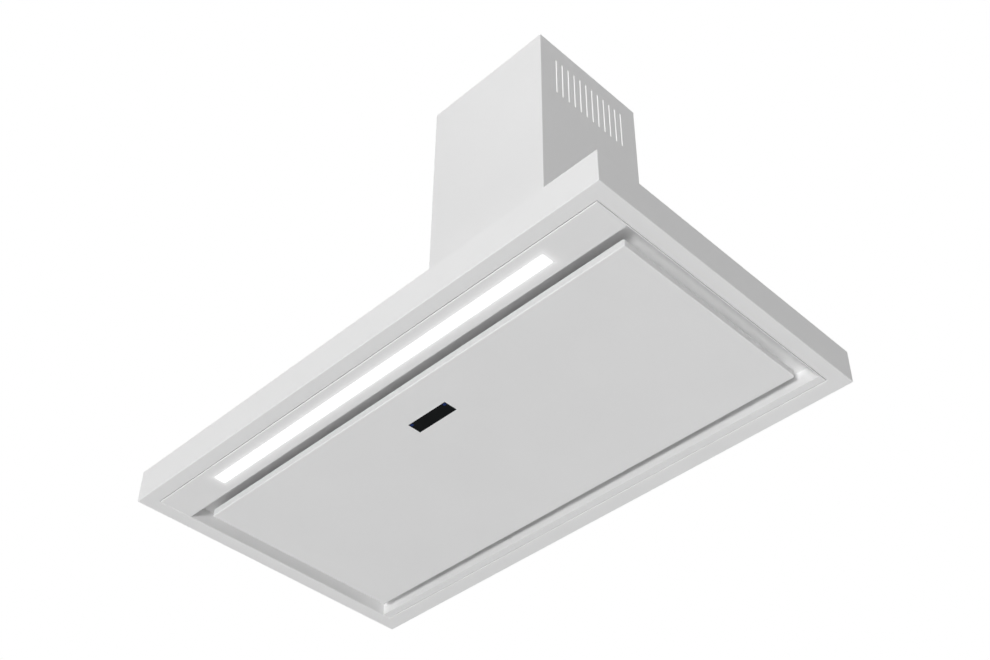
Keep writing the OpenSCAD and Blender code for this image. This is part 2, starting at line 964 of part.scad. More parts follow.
// Bracket under the tray's ceiling with two ears
module hinge_brackets() {
    ear_x = barrel_len / 2 + slip;
    color("silver")
        at_hinges() {
            difference() {
                span([-bracket_x, -bracket_d / 2, bracket_z], [bracket_x, bracket_d / 2, ceiling_z]);
                for (x = [-1, 1])
                    rod_z(
                        [x * (bracket_x - bracket_wing / 2), 0, bracket_z - over],
                        small_hole_r,
                        bracket_t + 2 * over
                    );
            }
            both_sides()
                difference() {
                    union() {
                        rod_x([ear_x, 0, hinge_z], ear_r, ear_len);
                        span([ear_x, -ear_web / 2, hinge_z], [ear_x + ear_len, ear_web / 2, bracket_z]);
                    }
                    rod_x([ear_x - over, 0, hinge_z], hinge_pin_d / 2, ear_len + 2 * over);
                }
        }
}

module hinge_screws() {
    color("silver")
        at_bracket_screws()
            screw([0, 0, bracket_z], [0, 0, 0], bracket_screw_len, small_d, small_head_d, small_head_h);
}

module hinge_pins() {
    color("silver")
        at_hinges()
            rod_x([-hinge_w / 2, 0, hinge_z], hinge_pin_d / 2, hinge_w);
}

// Blocks under the ceiling that carry the catch magnets
module catch_holders() {
    color("lightgray")
        for (x = [-catch_x, catch_x])
            span(
                [x - catch_w / 2, catch_y - catch_d / 2, magnet_z + magnet_h],
                [x + catch_w / 2, catch_y + catch_d / 2, ceiling_z]
            );
}

module catch_magnets() {
    color("dimgray")
        for (x = [-catch_x, catch_x])
            span(
                [x - magnet_w / 2, catch_y - magnet_d / 2, magnet_z],
                [x + magnet_w / 2, catch_y + magnet_d / 2, magnet_z + magnet_h]
            );
}

// Blocks of the two light marks, grown by a play where they are cut out
module mark_blocks(top, play) {
    both_sides()
        span(
            [mark_x - mark_w / 2 - play, mark_y - mark_d / 2 - play, play > 0 ? -over : 0],
            [mark_x + mark_w / 2 + play, mark_y + mark_d / 2 + play, top]
        );
}

// Black glass window, flush with the panel
module control_glass() {
    color("black")
        difference() {
            union() {
                span(
                    [-window_x + glass_play, window_y0 + glass_play, 0],
                    [window_x - glass_play, window_y1 - glass_play, panel_t]
                );
                span(
                    [-window_x - glass_lip, window_y0 - glass_lip, panel_t],
                    [window_x + glass_lip, window_y1 + glass_lip, panel_t + glass_t]
                );
            }
            mark_blocks(panel_t + glass_t + over, glass_play / 2);
        }
}

module control_marks() {
    color("dodgerblue")
        mark_blocks(panel_t + glass_t, 0);
}

module touch_board() {
    color("darkgreen")
        span(
            [-window_x - glass_lip, window_y0 - glass_lip, panel_t + glass_t],
            [window_x + glass_lip, window_y1 + glass_lip, panel_t + glass_t + board_t]
        );
}

// Plastic cap that clamps the glass and the board to the panel
module control_housing() {
    color("dimgray")
        difference() {
            union() {
                span([-control_x, control_y0, panel_t], [control_x, control_y1, back_plate_z]);
                span(
                    [-control_x - housing_ear, control_y0, panel_t],
                    [control_x + housing_ear, control_y1, panel_t + housing_wall]
                );
            }
            span(
                [-window_x - glass_lip, window_y0 - glass_lip, panel_t - over],
                [window_x + glass_lip, window_y1 + glass_lip, back_plate_z - housing_wall]
            );
        }
}

module at_filter(side) {
    translate([side * filter_x, filter_y0, 0])
        children();
}

// Aluminium frame of a filter with the rear tongues and the slot of the latch bolt
module filter_frame(side) {
    color("silver")
        at_filter(side)
            difference() {
                union() {
                    span([-filter_half, 0, filter_z0], [filter_half, filter_d, filter_z1]);
                    for (x = [-tongue_x, tongue_x])
                        span(
                            [x - tongue_w / 2, filter_d - tongue_len, tongue_z],
                            [x + tongue_w / 2, filter_d + tongue_len, tongue_z + tongue_t]
                        );
                }
                span(
                    [-filter_half + rail_w, rail_w, filter_z0 - over],
                    [filter_half - rail_w, filter_d - rail_w, filter_z1 + over]
                );
                span(
                    [-filter_half + rail_w - mesh_seat, rail_w - mesh_seat, mesh_z0],
                    [filter_half - rail_w + mesh_seat, filter_d - rail_w + mesh_seat, mesh_z0 + mesh_t]
                );
                span(
                    [-bolt_x - slip, -over, bolt_z - slip],
                    [bolt_x + slip, rail_w, bolt_z + bolt_t + slip]
                );
            }
}

// Grease mesh with the notch for the latch case
module filter_mesh(side) {
    color("gainsboro")
        at_filter(side)
            difference() {
                span(
                    [-filter_half + rail_w - mesh_seat, rail_w - mesh_seat, mesh_z0],
                    [filter_half - rail_w + mesh_seat, filter_d - rail_w + mesh_seat, mesh_z0 + mesh_t]
                );
                span([-case_x, 0, mesh_z0 - over], [case_x, rail_w + case_d, mesh_z0 + mesh_t + over]);
            }
}

module latch_case(side) {
    color("dimgray")
        at_filter(side)
            difference() {
                span([-case_x, rail_w, filter_z0], [case_x, rail_w + case_d, filter_z1]);
                span(
                    [-pocket_x, pocket_y0, filter_z0 - over],
                    [pocket_x, pocket_y1, bolt_z - slip]
                );
                span(
                    [-bolt_x - slip, rail_w - over, bolt_z - slip - over],
                    [bolt_x + slip, pocket_y1, bolt_z + bolt_t + slip]
                );
            }
}

// Sliding bolt with its finger tab
module latch_bolt(side) {
    color("gray")
        at_filter(side) {
            span([-bolt_x, -bolt_out, bolt_z], [bolt_x, bolt_tail, bolt_z + bolt_t]);
            span([-bolt_x, tab_y0, tab_z], [bolt_x, tab_y0 + tab_d, bolt_z + bolt_t / 2]);
        }
}

module latch_spring(side) {
    color("silver")
        at_filter(side)
            difference() {
                rod_y([0, bolt_tail, spring_z], spring_r, spring_len);
                rod_y([0, bolt_tail - over, spring_z], spring_r - spring_wire, spring_len + 2 * over);
            }
}

// Front and side walls of the blower casing, with flanges on the canopy and on the plate
module blower_casing() {
    color("silver")
        difference() {
            span([-casing_x, casing_front, deck_z], [casing_x, -plate_t, casing_top]);
            span(
                [-casing_x + casing_t, casing_front + casing_t, deck_z + casing_t],
                [casing_x - casing_t, -plate_t - casing_t, casing_top + over]
            );
            span([-air_x, air_front, deck_z - over], [air_x, over, deck_z + casing_t + over]);
            span([-rear_flange_x, -foot_d, deck_z - over], [rear_flange_x, over, casing_top + over]);
            at_casing_spots()
                rod_z([0, 0, deck_z - over], screw_hole_r, casing_t + 2 * over);
            both_sides()
                for (z = screw_zs)
                    rod_y([rear_mid, -plate_t - casing_t - over, z], screw_hole_r, casing_t + 2 * over);
            lid_screw_holes();
        }
}

module lid_screw_holes() {
    for (s = lid_screw_shares)
        rod_x(
            [-casing_x - over, -s * casing_d, casing_top - lid_skirt / 2],
            screw_hole_r,
            casing_w + 2 * over
        );
}

// Lid of the casing, with a skirt inside the walls
module casing_lid() {
    color("silver")
        difference() {
            span([-casing_x, casing_front, casing_top - lid_skirt], [casing_x, -plate_t, lid_top]);
            span(
                [-casing_x + 2 * casing_t, casing_front + 2 * casing_t, casing_top - lid_skirt - over],
                [casing_x - 2 * casing_t, -plate_t - 2 * casing_t, casing_top]
            );
            difference() {
                span(
                    [-casing_x - over, casing_front - over, casing_top - lid_skirt - over],
                    [casing_x + over, -plate_t + over, casing_top]
                );
                span(
                    [-casing_x + casing_t, casing_front + casing_t, casing_top - lid_skirt - 2 * over],
                    [casing_x - casing_t, -plate_t - casing_t, casing_top + over]
                );
            }
            rod_z([0, collar_y, casing_top - over], collar_in, casing_t + 2 * over);
            at_collar_spots()
                rod_z([0, 0, casing_top - over], screw_hole_r, casing_t + 2 * over);
            rod_z([gland_x, gland_y, casing_top - over], gland_thread_r, casing_t + 2 * over);
            lid_screw_holes();
        }
}

// Plate against the wall that carries the hood
module mounting_plate() {
    color("silver")
        difference() {
            union() {
                span([-plate_x, -plate_t, deck_z], [plate_x, 0, casing_top]);
                span([-foot_x, -foot_d, deck_z], [foot_x, -plate_t, deck_z + casing_t]);
            }
            at_casing_spots()
                rod_z([0, 0, deck_z - over], screw_hole_r, casing_t + 2 * over);
            both_sides()
                for (z = screw_zs)
                    rod_y([rear_mid, -plate_t - over, z], screw_hole_r, plate_t + 2 * over);
            for (x = [-wall_pitch_x / 2, wall_pitch_x / 2])
                for (z = [wall_hole_z, wall_hole_z + wall_pitch_z])
                    rod_y([x, -plate_t - over, deck_z + z], wall_hole_d / 2, plate_t + 2 * over);
        }
}

// Screws of the casing, and of the lower cover round it
module casing_screws() {
    color("silver") {
        at_casing_spots()
            screw([0, 0, deck_z + casing_t], [180, 0, 0], casing_screw_len);
        at_chimney_spots()
            screw([0, 0, deck_under], [0, 0, 0], lower_screw_len, small_d, small_head_d, small_head_h);
        both_sides()
            for (z = screw_zs)
                screw([rear_mid, -plate_t - casing_t, z], [-90, 0, 0], rear_screw_len);
    }
}

module lid_screws() {
    color("silver")
        both_sides()
            for (s = lid_screw_shares)
                screw([-casing_x, -s * casing_d, casing_top - lid_skirt / 2], [0, 90, 0], lid_screw_len);
}

// Outline of the scroll, drawn in by t: the spiral from the tongue, then the mouth
function scroll_points(t, top) = concat(
    [
        for (i = [0 : scroll_steps])
            let (share = i / scroll_steps)
            let (a = tongue_a + share * (360 - tongue_a))
            let (r = scroll_r0 + share * (scroll_r1 - scroll_r0) - t)
            [-r * cos(a), r * sin(a)]
    ],
    [[-scroll_r1 + t, top], [-scroll_r1 + mouth_d - t, top]]
);

module scroll_block(x0, x1, t, top) {
    translate([x0, axis_y, axis_z])
        rotate([90, 0, 90])
            linear_extrude(height = x1 - x0)
                polygon(scroll_points(t, top));
}

// Right half of the scroll
module scroll_half() {
    difference() {
        union() {
            scroll_block(0, scroll_x, 0, mouth_z);
            span(
                [scroll_x - over, mouth_front, casing_top - lug_t],
                [scroll_x + lug_w, mouth_rear, casing_top]
            );
        }
        scroll_block(-over, scroll_x - scroll_t, scroll_t, mouth_z + over);
        rod_x([scroll_x - scroll_t - over, axis_y, axis_z], inlet_r, scroll_t + 2 * over);
        at_collar_spots()
            rod_z([0, 0, casing_top - lug_t - over], screw_hole_r, lug_t + 2 * over);
    }
}

module scroll_right() {
    color("darkgray")
        scroll_half();
}

module at_bushes(r) {
    for (a = bush_angles)
        translate([0, axis_y + r * cos(a), axis_z + r * sin(a)])
            children();
}

module scroll_left() {
    color("darkgray")
        difference() {
            mirror([1, 0, 0])
                scroll_half();
            at_bushes(bush_ring)
                rod_x([-scroll_x - over, 0, 0], screw_hole_r, scroll_t + 2 * over);
        }
}

// Forward curved double inlet wheel
module impeller() {
    blade_r0 = impeller_r - blade_depth;
    color("dimgray")
        translate([0, axis_y, axis_z])
            rotate([0, 90, 0])
                difference() {
                    union() {
                        for (z = [-impeller_w / 2, impeller_w / 2 - ring_t])
                            translate([0, 0, z])
                                difference() {
                                    cylinder(h = ring_t, r = impeller_r);
                                    translate([0, 0, -over])
                                        cylinder(h = ring_t + 2 * over, r = blade_r0);
                                }
                        translate([0, 0, -disc_t / 2])
                            cylinder(h = disc_t, r = impeller_r - blade_in);
                        translate([0, 0, disc_t / 2 - hub_len / 2])
                            cylinder(h = hub_len, r = hub_r);
                        for (i = [0 : blade_count - 1])
                            rotate([0, 0, i * 360 / blade_count])
                                translate([0, 0, -impeller_w / 2 + ring_t / 2])
                                    linear_extrude(height = impeller_w - ring_t)
                                        polygon([
                                            [blade_r0 + blade_in, -blade_t / 2],
                                            [blade_r0 + blade_depth / 2, blade_lean / 4 - blade_t / 2],
                                            [impeller_r - 2 * blade_in, blade_lean],
                                            [impeller_r - 2 * blade_in, blade_lean + blade_t],
                                            [blade_r0 + blade_depth / 2, blade_lean / 4 + blade_t / 2],
                                            [blade_r0 + blade_in, blade_t / 2]
                                        ]);
                    }
                    translate([0, 0, -hub_len])
                        cylinder(h = 2 * hub_len + 2 * over, r = shaft_r);
                }
}

module motor_shaft() {
    color("lightgray")
        rod_x([shaft_x0, axis_y, axis_z], shaft_r, shaft_x1 - shaft_x0);
}

module motor_rotor() {
    rotor_r = stator_r - stator_depth - rotor_gap;
    color("gray")
        difference() {
            rod_x([stator_x0, axis_y, axis_z], rotor_r, stator_len);
            rod_x([stator_x0 - over, axis_y, axis_z], shaft_r, stator_len + 2 * over);
        }
}

module motor_stator() {
    color("peru")
        difference() {
            rod_x([stator_x0, axis_y, axis_z], stator_r, stator_len);
            rod_x([stator_x0 - over, axis_y, axis_z], stator_r - stator_depth, stator_len + 2 * over);
        }
}

// Closed can with a bearing seat at each end
module motor_housing() {
    color("silver")
        difference() {
            rod_x([motor_x0, axis_y, axis_z], motor_r, motor_len);
            rod_x([motor_x0 + motor_end, axis_y, axis_z], stator_r, motor_len - 2 * motor_end);
            rod_x([motor_x1 - motor_end - over, axis_y, axis_z], bearing_r, motor_end + 2 * over);
            rod_x([motor_x0 + bearing_inset, axis_y, axis_z], bearing_r, motor_end);
            at_bushes(motor_bolt_ring)
                rod_x([motor_x0 - over, 0, 0], screw_hole_r, motor_end + 2 * over);
        }
}

module motor_bearings() {
    color("lightgray")
        for (x = [motor_x0 + bearing_inset, motor_x1 - bearing_len])
            difference() {
                rod_x([x, axis_y, axis_z], bearing_r, bearing_len);
                rod_x([x - over, axis_y, axis_z], shaft_r + pin_play, bearing_len + 2 * over);
            }
}

// Three-armed plate that carries the motor over the inlet
module motor_spider() {
    color("silver")
        difference() {
            union() {
                rod_x([spider_x0, axis_y, axis_z], motor_r, spider_t);
                for (a = bush_angles)
                    translate([spider_x0, axis_y, axis_z])
                        rotate([a - 90, 0, 0]) {
                            span([0, -spider_arm / 2, 0], [spider_t, spider_arm / 2, bush_ring]);
                            rod_x([0, 0, bush_ring], spider_pad_r, spider_t);
                        }
            }
            at_bushes(bush_ring)
                rod_x([spider_x0 - over, 0, 0], screw_hole_r, spider_t + 2 * over);
            at_bushes(motor_bolt_ring)
                rod_x([spider_x0 - over, 0, 0], screw_hole_r, spider_t + 2 * over);
        }
}

module motor_bushes() {
    color("black")
        at_bushes(bush_ring)
            difference() {
                rod_x([-scroll_x - bush_len, 0, 0], bush_r, bush_len);
                rod_x([-scroll_x - bush_len - over, 0, 0], screw_hole_r, bush_len + 2 * over);
            }
}

module motor_screws() {
    color("silver") {
        at_bushes(bush_ring)
            screw([spider_x0, 0, 0], [0, 90, 0], spider_screw_len);
        at_bushes(motor_bolt_ring)
            screw([spider_x0, 0, 0], [0, 90, 0], motor_screw_len);
    }
}

// Duct collar with the ledge that stops the flaps
module outlet_collar() {
    ledge_top = pin_z - flap_t / 2 - slip;
    color("dimgray")
        difference() {
            union() {
                span(
                    [-base_half, collar_y - mouth_d / 2, lid_top],
                    [base_half, collar_y + mouth_d / 2, base_top]
                );
                rod_z([0, collar_y, lid_top], collar_r, collar_h);
            }
            difference() {
                rod_z([0, collar_y, lid_top - over], collar_in, collar_h + 2 * over);
                rod_z([0, collar_y, ledge_top - ledge_t], collar_in + over, ledge_t);
            }
            rod_z([0, collar_y, lid_top - over], collar_in - ledge_w, collar_h + 2 * over);
            rod_x([-collar_r - over, collar_y, pin_z], flap_pin_r, collar_d + 2 * over);
            at_collar_spots()
                rod_z([0, 0, lid_top - over], screw_hole_r, base_t + 2 * over);
        }
}

module collar_screws() {
    color("silver")
        at_collar_spots()
            screw([0, 0, base_top], [180, 0, 0], collar_screw_len);
}

module damper_pin() {
    color("lightgray")
        rod_x([-collar_r + flap_pin_inset, collar_y, pin_z], flap_pin_r, collar_d - 2 * flap_pin_inset);
}

// One backdraft flap, drawn towards +Y
module damper_flap(barrels) {
    difference() {
        union() {
            intersection() {
                rod_z([0, 0, -flap_t / 2], flap_r, flap_t);
                span([-collar_r, flap_start, -collar_t], [collar_r, collar_r, collar_t]);
            }
            for (x = barrels) {
                rod_x([x - flap_barrel_len / 2, 0, 0], flap_barrel_r, flap_barrel_len);
                span(
                    [x - flap_barrel_len / 2, 0, -flap_t / 2],
                    [x + flap_barrel_len / 2, flap_start + flap_t, flap_t / 2]
                );
            }
        }
        rod_x([-collar_r, 0, 0], flap_pin_r + pin_play, collar_d);
    }
}

module damper_flap_rear() {
    color("gray")
        translate([0, collar_y, pin_z])
            damper_flap([-barrel_near, barrel_far]);
}

module damper_flap_front() {
    color("gray")
        translate([0, collar_y, pin_z])
            mirror([0, 1, 0])
                damper_flap([-barrel_far, barrel_near]);
}

// Lower cover, standing on the canopy
module lower_chimney() {
    color("white")
        difference() {
            span([-lower_x, -lower_d, deck_z], [lower_x, 0, deck_z + lower_h]);
            span(
                [-lower_x + chimney_t, -lower_d + chimney_t, deck_z + chimney_t],
                [lower_x - chimney_t, over, deck_z + lower_h + over]
            );
            span(
                [-lower_x + chimney_t + lower_flange, -lower_d + chimney_t + lower_flange, deck_z - over],
                [lower_x - chimney_t - lower_flange, over, deck_z + chimney_t + over]
            );
            at_chimney_spots()
                rod_z([0, 0, deck_z - over], small_hole_r, chimney_t + 2 * over);
            both_sides()
                translate([-lower_x, -lower_d, deck_z + lower_h / 2])
                    fold(chimney_fold, lower_h + 2 * over);
        }
}

// Upper cover with its vent slots, sliding inside the lower cover
module upper_chimney() {
    color("white")
        difference() {
            span([-chimney_x, -chimney_d, chimney_z0], [chimney_x, 0, chimney_z1]);
            span(
                [-chimney_x + chimney_t, -chimney_d + chimney_t, chimney_z0 - over],
                [chimney_x - chimney_t, -chimney_t, chimney_z1 + over]
            );
            span(
                [-chimney_x + chimney_return, -chimney_t - over, chimney_z0 - over],
                [chimney_x - chimney_return, over, chimney_z1 + over]
            );
            for (i = [0 : slot_count - 1])
                span(
                    [-chimney_x - over, slot_first + i * slot_pitch - slot_w / 2, slot_z0],
                    [chimney_x + over, slot_first + i * slot_pitch + slot_w / 2, slot_z1]
                );
            both_sides()
                translate([-chimney_x, -chimney_d, (chimney_z0 + chimney_z1) / 2])
                    fold(chimney_fold, chimney_z1 - chimney_z0 + 2 * over);
        }
}

// Wall bracket whose two legs guide the top of the upper cover
module chimney_bracket() {
    z1 = chimney_z1 - bracket_drop;
    z0 = z1 - bracket_h;
    leg_x = chimney_x - chimney_t - slip;
    plate_half = chimney_x - chimney_return - bracket_gap;
    strap_y = -wall_bracket_t - strap_t;
    color("silver")
        difference() {
            union() {
                span([-plate_half, -wall_bracket_t, z0], [plate_half, 0, z1]);
                both_sides() {
                    span([plate_half - strap_in, strap_y, z0], [leg_x, -wall_bracket_t, z1]);
                    span([leg_x - strap_t, -strap_reach, z0], [leg_x, -wall_bracket_t, z1]);
                }
            }
            for (x = [-bracket_hole_pitch / 2, bracket_hole_pitch / 2])
                rod_y(
                    [x, -wall_bracket_t - over, (z0 + z1) / 2],
                    bracket_hole_d / 2,
                    wall_bracket_t + 2 * over
                );
        }
}

// Gland of the mains lead on the casing's lid
module cable_gland() {
    color("black")
        translate([gland_x, gland_y, 0])
            difference() {
                union() {
                    translate([0, 0, lid_top])
                        hex_bar(gland_hex_h, gland_hex_d);
                    rod_z([0, 0, lid_top], gland_dome_r, gland_dome_h);
                    rod_z([0, 0, casing_top - gland_thread_len], gland_thread_r, gland_thread_len + casing_t);
                    translate([0, 0, casing_top - gland_hex_h])
                        hex_bar(gland_hex_h, gland_hex_d);
                }
                rod_z(
                    [0, 0, casing_top - gland_thread_len - over],
                    gland_bore,
                    gland_thread_len + casing_t + gland_dome_h + 2 * over
                );
            }
}

canopy_shell();
filter_tray();
tray_standoffs();
tray_screws();
light_housing();
light_board();
light_diffuser();
electrics_box();
electrics_lid();
power_board();
capacitor();
terminal_block();
panel_skin();
panel_back_plate();
panel_stiffeners();
panel_hinge_leaves();
hinge_brackets();
hinge_screws();
hinge_pins();
catch_holders();
catch_magnets();
control_glass();
control_housing();
touch_board();
control_marks();
filter_frame(-1);  // filter_frame_left
filter_frame(1);  // filter_frame_right
filter_mesh(-1);  // filter_mesh_left
filter_mesh(1);  // filter_mesh_right
latch_case(-1);  // latch_case_left
latch_case(1);  // latch_case_right
latch_bolt(-1);  // latch_bolt_left
latch_bolt(1);  // latch_bolt_right
latch_spring(-1);  // latch_spring_left
latch_spring(1);  // latch_spring_right
blower_casing();
casing_lid();
mounting_plate();
casing_screws();
lid_screws();
scroll_left();
scroll_right();
impeller();
motor_shaft();
motor_rotor();
motor_housing();
motor_stator();
motor_bearings();
motor_spider();
motor_bushes();
motor_screws();
outlet_collar();
collar_screws();
damper_pin();
damper_flap_front();
damper_flap_rear();
lower_chimney();
upper_chimney();
chimney_bracket();
cable_gland();
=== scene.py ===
"""Wall mount range hood: finishes, fine pieces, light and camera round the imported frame.

Metres, in the frame of the CAD: x = 0 is the middle, y = 0 the wall, z = 0 the underside.
"""

import itertools
import json
import math
import random

import bmesh
import bpy
from mathutils import Matrix, Vector


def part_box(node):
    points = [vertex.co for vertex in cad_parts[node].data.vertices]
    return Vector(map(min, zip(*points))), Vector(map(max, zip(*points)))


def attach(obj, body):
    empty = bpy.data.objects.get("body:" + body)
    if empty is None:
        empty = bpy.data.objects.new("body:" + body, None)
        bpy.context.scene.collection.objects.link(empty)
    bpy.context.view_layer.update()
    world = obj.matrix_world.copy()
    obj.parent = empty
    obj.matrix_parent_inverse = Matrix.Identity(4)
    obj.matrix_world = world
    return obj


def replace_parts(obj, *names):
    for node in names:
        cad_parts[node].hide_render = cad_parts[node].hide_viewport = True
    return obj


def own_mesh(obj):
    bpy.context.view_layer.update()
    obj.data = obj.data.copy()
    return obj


MM = 0.001

# The photograph's camera, with its sensor in millimetres and its angles in degrees
IMAGE_WIDTH = 990
FOCAL_PIXELS = 1491.0
SENSOR = 36.0
CAMERA_PLACE = (1.1806, -1.3902, -1.2617)
CAMERA_AZIMUTH = 45.170
CAMERA_ELEVATION = -41.962
CAMERA_ROLL = 0.545

# Studio: pale floor far under the hood and an even light
FLOOR_Z = -7.0
FLOOR_HALF = 60.0
FLOOR_GLOW = 0.88
AMBIENT = 0.1147

# Soft lamps: place, target, width and height, watts
LAMPS = {
    "key_lamp": ((4.33, -9.1, -5.3), (0.0, -0.25, 0.1), (1.9, 1.9), 810.0),
    "front_lamp": ((-1.0, -4.2, 1.6), (0.0, 0.0, 0.3), (3.0, 2.0), 19.3),
    "top_lamp": ((0.0, -0.6, 4.0), (0.0, -0.3, 0.0), (4.0, 3.0), 48.0),
    "back_lamp": ((0.6, 4.2, 1.5), (0.0, 0.0, 0.3), (3.0, 2.0), 44.0),
    "left_lamp": ((-3.6, 0.6, 1.2), (0.0, -0.1, 0.3), (2.0, 2.0), 30.0),
    "left_low_lamp": ((-2.0, -1.0, -2.8), (0.0, -0.25, 0.0), (2.0, 2.0), 7.3),
    "rear_low_lamp": ((0.3, 2.2, -2.4), (0.0, -0.25, 0.0), (2.0, 1.5), 13.1),
}

# Colours
WHITE_LIGHT = (1, 1, 1)
WHITE_PAINT = (0.88, 0.88, 0.88)

# Lines of drawn metal: scale of their noise along them and across them
LINES_ALONG = 8.0
LINES_ACROSS = 900.0

# Strip light: the window is the diffuser's flush face, inside its lip
DIFFUSER_LIP = 3 * MM
OPAL_EDGE = 4 * MM
OPAL_MIDDLE_GLOW = 1.15
OPAL_EDGE_GLOW = 0.12
# Painted light spill on the tray paint round the window: how far the painted glow reaches and how
# bright it starts
PAINTED_SPILL_REACH = 4.8 * MM
PAINTED_SPILL_GLOW = 0.17

# Blue marks of the touch control
MARK_LIGHT = (0.1, 0.22, 1)
MARK_GLOW = 0.055

# Expanded metal of the filters: openings, strands, layers and crimp
NET_LONG = 12 * MM
NET_SHORT = 7 * MM
NET_STRAND = 1.1 * MM
NET_SHEET = 0.5 * MM
NET_TILT = math.radians(25)
NET_LAYERS = 3
NET_CRIMP = 0.3 * MM
NET_CRIMP_PITCH = 22 * MM

# Latch springs: the first and the last turn lie closed
SPRING_WIRE_R = 0.25 * MM
SPRING_TURNS = 9
SPRING_END_PITCH = 2.2 * SPRING_WIRE_R
SPRING_STEPS = 16
SPRING_SIDES = 8

# Pan head screws, as shares of the shank's radius or of the head's radius and height
SCREW_SIDES = 32
SCREW_TIP = 0.25
SCREW_BEVEL = 0.06
SCREW_RIM = 0.45
SCREW_FLAT = 0.62
SCREW_DOME_POWER = 1.6
SCREW_DOME_STEPS = 5
SHARP_EDGE = math.radians(35)

# Cross recess: its arm and half width by the head's radius, and its height by the head's height
CROSS_TOP = (0.46, 0.13, 1.0)
CROSS_FLOOR = (0.3, 0.08, 0.4)

# Corners of a CAD mesh that lie closer than this are one
WELD = 0.001 * MM

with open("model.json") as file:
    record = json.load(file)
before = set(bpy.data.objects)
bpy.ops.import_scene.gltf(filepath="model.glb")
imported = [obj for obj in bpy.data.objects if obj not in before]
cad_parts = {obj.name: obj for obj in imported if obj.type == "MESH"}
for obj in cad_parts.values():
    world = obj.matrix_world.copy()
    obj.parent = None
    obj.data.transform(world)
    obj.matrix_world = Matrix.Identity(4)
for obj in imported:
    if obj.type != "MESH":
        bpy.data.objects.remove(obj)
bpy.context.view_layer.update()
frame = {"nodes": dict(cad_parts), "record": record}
nodes = frame["nodes"]

diffuser_low, diffuser_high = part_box("light_diffuser")
window_low = [edge + DIFFUSER_LIP for edge in diffuser_low.xy]
window_high = [edge - DIFFUSER_LIP for edge in diffuser_high.xy]


# Materials


def plug(tree, socket, value):
    """Gives a socket a number or colour, or links another node's output to it."""
    if isinstance(value, bpy.types.NodeSocket):
        tree.links.new(value, socket)
    else:
        socket.default_value = value


def add_node(tree, kind, inputs, **settings):
    """A new node; inputs holds what each input gets, by its name or number."""
    made = tree.nodes.new(kind)
    for key, value in settings.items():
        setattr(made, key, value)
    for key, value in inputs.items():
        plug(tree, made.inputs[key], value)
    return made


def shade(colour, factor):
    """A lighter or darker shade of a colour."""
    return tuple(min(1.0, part * factor) for part in colour)


class Finish:
    """A Principled material and the small node chains that feed it."""

    def __init__(self, name, colour, roughness, metallic=0.0, specular=0.5):
        self.material = bpy.data.materials.new(name)
        self.material.use_nodes = True
        self.material.diffuse_color = (*colour, 1)
        self.tree = self.material.node_tree
        self.shader = self.tree.nodes["Principled BSDF"]
        self.place = self.tree.nodes.new("ShaderNodeTexCoord").outputs["Object"]
        self.colour = colour
        self.feed("Base Color", (*colour, 1))
        self.feed("Roughness", roughness)
        self.feed("Metallic", metallic)
        self.feed("Specular IOR Level", specular)

    def feed(self, socket, value):
        """Gives one of the shader's sockets a value or a node's output."""
        plug(self.tree, self.shader.inputs[socket], value)
        return self

    def node(self, kind, inputs, **settings):
        return add_node(self.tree, kind, inputs, **settings)

    def noise(self, scale, detail=2.0, stretch=None):
        """Soft noise from 0 to 1, with its own stretch for each axis where one is given."""
        place = self.place
        if stretch:
            mapping = self.node("ShaderNodeMapping", {"Vector": place, "Scale": stretch})
            place = mapping.outputs["Vector"]
        inputs = {"Vector": place, "Scale": scale, "Detail": detail}
        return self.node("ShaderNodeTexNoise", inputs).outputs["Fac"]

    def cells(self, scale, feature="F1"):
        """A net of irregular cells."""
        inputs = {"Vector": self.place, "Scale": scale}
        return self.node("ShaderNodeTexVoronoi", inputs, feature=feature)

    def waves(self, scale, direction, distortion):
        """Bands from 0 to 1 across one axis."""
        inputs = {"Vector": self.place, "Scale": scale, "Distortion": distortion}
        return self.node("ShaderNodeTexWave", inputs, bands_direction=direction).outputs["Fac"]

    def axis(self, letter):
        """The object's own X, Y or Z."""
        return self.node("ShaderNodeSeparateXYZ", {"Vector": self.place}).outputs[letter]

    def maths(self, operation, *terms):
        """The result of an operation on one or two numbers or outputs."""
        inputs = dict(enumerate(terms))
        return self.node("ShaderNodeMath", inputs, operation=operation).outputs["Value"]

    def span(self, value, low, high, start=0.3, end=0.7, shape="LINEAR"):
        """A number from low to high, as value goes from start to end."""
        inputs = {"Value": value, "From Min": start, "From Max": end, "To Min": low, "To Max": high}
        return self.node("ShaderNodeMapRange", inputs, interpolation_type=shape).outputs["Result"]

    def colours(self, value, low, high, start=0.3, end=0.7):
        """Base colour from low to high, as value goes from start to end."""
        ramp = self.node("ShaderNodeValToRGB", {"Fac": value})
        stops = ramp.color_ramp.elements
        stops[0].position, stops[1].position = start, end
        stops[0].color, stops[1].color = (*low, 1), (*high, 1)
        return self.feed("Base Color", ramp.outputs["Color"])

    def shades(self, value, darkest, lightest):
        """Base colour between two shades of the finish's own colour."""
        return self.colours(value, shade(self.colour, darkest), shade(self.colour, lightest))

    def roughness(self, value, low, high):
        return self.feed("Roughness", self.span(value, low, high))

    def glow(self, colour, strength):
        """Light that the surface gives off, even or by a node's output."""
        self.feed("Emission Color", (*colour, 1))
        return self.feed("Emission Strength", strength)

    def bump(self, height, strength, distance):
        """Fine relief of the surface."""
        inputs = {"Height": height, "Strength": strength, "Distance": distance}
        return self.feed("Normal", self.node("ShaderNodeBump", inputs).outputs["Normal"])


def powder_coat(name, colour):
    """Satin powder coat: a faint orange peel and a tone that drifts a little over the sheet."""
    paint = Finish(name, colour, roughness=0.42)
    paint.shades(paint.noise(scale=5.0, detail=3.0), darkest=0.985, lightest=1.01)
    paint.roughness(paint.noise(scale=260.0), low=0.38, high=0.47)
    return paint.bump(paint.noise(scale=650.0, detail=1.0), strength=0.05, distance=0.1 * MM)


